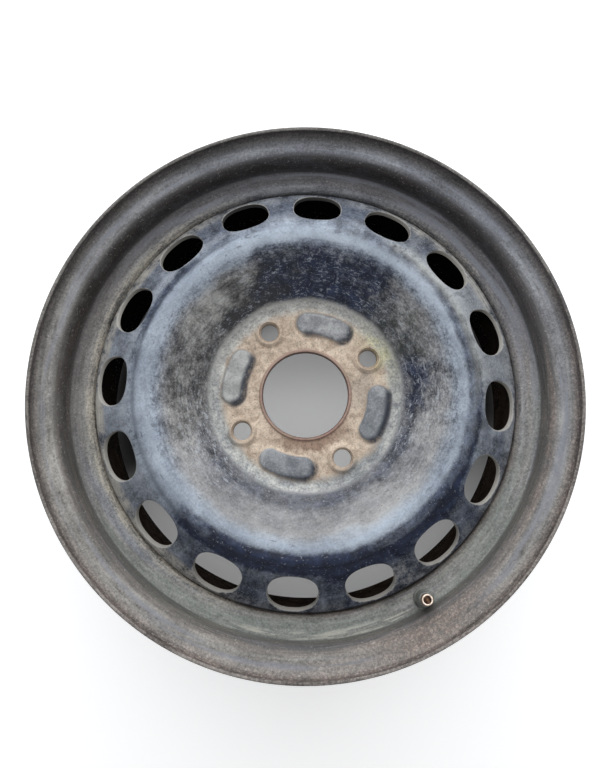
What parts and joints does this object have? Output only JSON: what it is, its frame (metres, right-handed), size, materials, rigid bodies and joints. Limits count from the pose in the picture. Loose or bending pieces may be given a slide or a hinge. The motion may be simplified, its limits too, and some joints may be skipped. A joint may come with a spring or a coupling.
{
  "type": "pressed steel car wheel",
  "caption": "Pressed steel road wheel: drop-centre rolled rim, dished disc with round vents, bolt holes, raised pads and centre bore, and a snap-in tyre valve.",
  "frame": {"origin": "centre of the hub mounting face, on the wheel's axis", "axes": "+Z along the wheel's axis, out to the street side; +X through a bolt hole; the valve is on the -Y side"},
  "size_m": [0.3898, 0.3896, 0.164],
  "materials": {
    "rim_paint": "worn dark paint with rust film",
    "disc_paint": "faded blue-black paint, chalky, dusty and rusted at the hub",
    "weld_steel": "painted weld, rusty",
    "rubber": "dusty matt",
    "brass": "dull, dusty",
    "core_brass": "dull",
    "gasket": "matt",
    "spring_steel": "bright wire"
  },
  "bodies": {
    "wheel": {"rim": "rim_paint", "disc": "disc_paint", "weld_beads": "weld_steel", "valve_rubber": "rubber", "valve_stem": "brass", "core_plug": "core_brass", "core_barrel": "core_brass", "core_gasket": "gasket", "core_spring": "spring_steel"},
    "pin": {"core_pin": "core_brass", "core_cup": "core_brass", "cup_seal": "rubber"}
  },
  "joints": [
    {"name": "pin_press", "type": "slide", "parent": "wheel", "child": "pin", "axis": [0, -0.2079, -0.9781], "range_m": [0, 0.0012], "stiffness_N_per_m": 900, "springref_m": -0.003, "deforming": ["core_spring"]}
  ]
}
